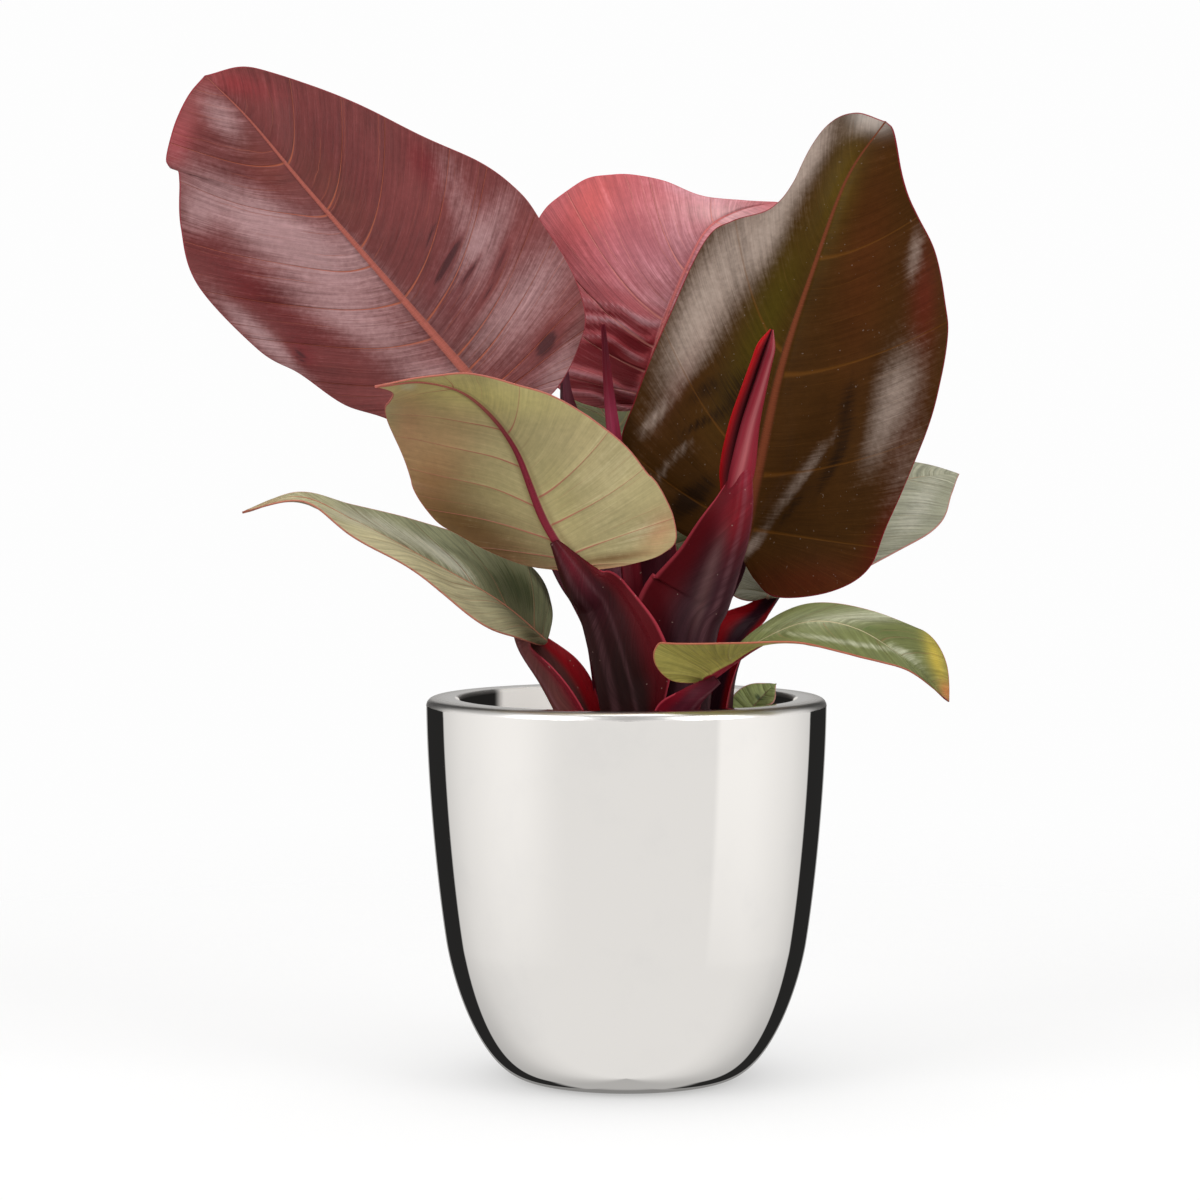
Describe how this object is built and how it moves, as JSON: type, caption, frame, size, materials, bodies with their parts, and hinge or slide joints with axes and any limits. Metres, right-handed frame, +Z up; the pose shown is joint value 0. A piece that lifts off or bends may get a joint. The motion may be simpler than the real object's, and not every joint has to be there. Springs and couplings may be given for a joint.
{
  "type": "potted cherry red philodendron",
  "caption": "Potted philodendron with broad maroon, coral and green leaves on dark red stalks, in a mirror-finished silver pot with a thick flat rim.",
  "frame": {"origin": "middle of the pot's flat foot, on the surface that it stands on", "axes": "+Z up through the pot and the plant, +Y away from the pictured front, +X to the right as seen from the front"},
  "size_m": [0.3481, 0.2483, 0.4325],
  "materials": {
    "pot_mirror": "mirror-polished silver, clear dark and light reflections",
    "soil": "matte dark potting soil with bark chips",
    "stalk": "waxy dark purple-brown with crimson sheath edges",
    "crimson_leaf": "waxy bright crimson, still rolled",
    "maroon_leaf": "waxy maroon with orange veins and a grey-mauve sheen",
    "dark_leaf": "waxy dark olive and maroon with ochre veins",
    "khaki_leaf": "satin khaki underside with a crimson midrib",
    "coral_leaf": "waxy coral red, still crinkled",
    "green_leaf": "waxy green with a salmon edge"
  },
  "bodies": {
    "root": {"pot": "pot_mirror", "soil": "soil", "crown_stem": "stalk", "petiole_front_left": "stalk", "petiole_front_right": "stalk", "petiole_new": "stalk", "petiole_lower_left": "stalk", "petiole_back_right": "stalk", "petiole_right_large": "stalk", "petiole_left_large": "stalk", "petiole_back_centre": "stalk", "petiole_back": "stalk", "petiole_small": "stalk", "spike": "stalk", "bract": "stalk", "rolled_leaf": "crimson_leaf", "blade_left_large": "maroon_leaf", "blade_right_large": "dark_leaf", "blade_front_left": "khaki_leaf", "blade_back_centre": "coral_leaf", "blade_lower_left": "green_leaf", "blade_front_right": "green_leaf", "blade_back_right": "green_leaf", "blade_back": "green_leaf", "blade_small": "green_leaf"}
  },
  "joints": []
}
